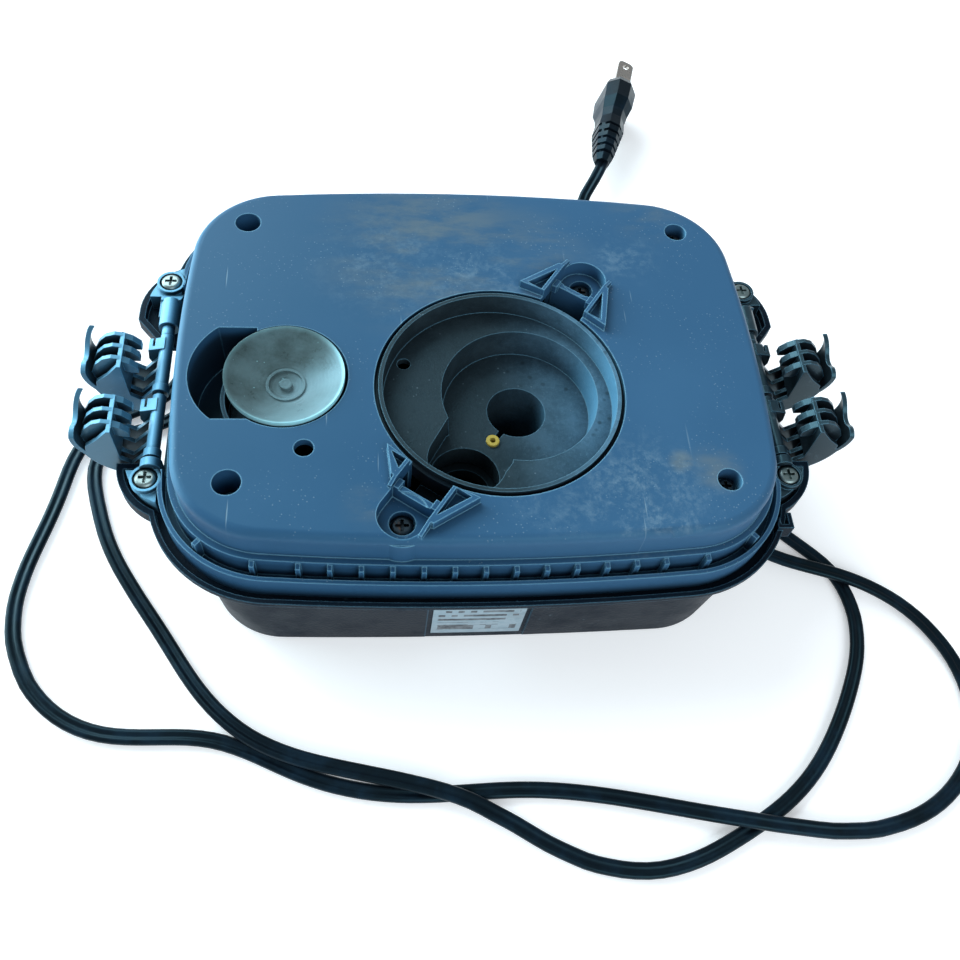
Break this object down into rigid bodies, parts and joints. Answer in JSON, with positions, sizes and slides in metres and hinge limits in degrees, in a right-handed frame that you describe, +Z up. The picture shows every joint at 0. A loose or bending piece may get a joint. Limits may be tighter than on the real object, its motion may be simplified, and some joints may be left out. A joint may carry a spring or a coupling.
{
  "type": "canister filter motor head",
  "caption": "Motor head of a canister aquarium filter, wet side up: slate plug housing with an open pump chamber, intake valve, hinged side clamps, dark cover, flat cord and plug.",
  "frame": {"origin": "centre of the cover's flat face that the head rests on, with the wet side up", "axes": "+Z up out of the wet side, +X along the head's long side towards the plug, +Y to the rear where the hoses and cord leave; the clamps' hinge axes run along Y"},
  "size_m": [0.3438, 0.3867, 0.0682],
  "materials": {
    "slate_plastic": "satin moulded plastic with limescale and scratches",
    "grey_plastic": "satin moulded plastic, water stained",
    "dark_plastic": "fine textured dark plastic",
    "clamp_plastic": "smooth moulded plastic",
    "disc_plastic": "slightly translucent plastic",
    "olive_bush": "aged rubber",
    "black_rubber": "soft matt rubber",
    "cord_rubber": "smooth flexible cord jacket",
    "label_film": "plain printed film, no wording",
    "screw_steel": "bright steel",
    "blade_metal": "nickel-plated brass",
    "lamination_steel": "stacked laminations",
    "copper_winding": "resin-coated copper winding",
    "lead_insulation": "wire insulation"
  },
  "bodies": {
    "head": {"plug_housing": "slate_plastic", "pump_chamber": "grey_plastic", "chamber_seal": "black_rubber", "chamber_bush": "olive_bush", "valve_seat": "grey_plastic", "intake_pipe": "grey_plastic", "outlet_pipe": "grey_plastic", "hose_sockets": "dark_plastic", "stator_core": "lamination_steel", "stator_coils": "copper_winding", "motor_leads": "lead_insulation", "top_cover": "dark_plastic", "rating_label": "label_film", "bracket_left": "clamp_plastic", "bracket_right": "clamp_plastic", "hinge_pin_left": "clamp_plastic", "hinge_pin_right": "clamp_plastic", "housing_screws": "screw_steel", "bracket_screws": "screw_steel", "clip_screws": "screw_steel", "cord_grommet": "black_rubber", "power_cord": "cord_rubber", "plug_body": "cord_rubber", "plug_blades": "blade_metal"},
    "clamp_left_front": {"clamp_left_front": "clamp_plastic"},
    "clamp_left_rear": {"clamp_left_rear": "clamp_plastic"},
    "clamp_right_front": {"clamp_right_front": "clamp_plastic"},
    "clamp_right_rear": {"clamp_right_rear": "clamp_plastic"},
    "valve_disc": {"valve_disc": "disc_plastic"}
  },
  "joints": [
    {"name": "hinge_left_front", "type": "hinge", "parent": "head", "child": "clamp_left_front", "pos_m": [-0.1075, -0.0238, 0.048], "axis": [0, 1, 0], "range_deg": [-10, 50]},
    {"name": "hinge_left_rear", "type": "hinge", "parent": "head", "child": "clamp_left_rear", "pos_m": [-0.1075, 0.0022, 0.048], "axis": [0, 1, 0], "range_deg": [-10, 50]},
    {"name": "hinge_right_front", "type": "hinge", "parent": "head", "child": "clamp_right_front", "pos_m": [0.1075, -0.0238, 0.048], "axis": [0, -1, 0], "range_deg": [-10, 50]},
    {"name": "hinge_right_rear", "type": "hinge", "parent": "head", "child": "clamp_right_rear", "pos_m": [0.1075, 0.0022, 0.048], "axis": [0, -1, 0], "range_deg": [-10, 50]},
    {"name": "valve_slide", "type": "slide", "parent": "head", "child": "valve_disc", "axis": [0, 0, 1], "range_m": [0, 0.0039]}
  ]
}
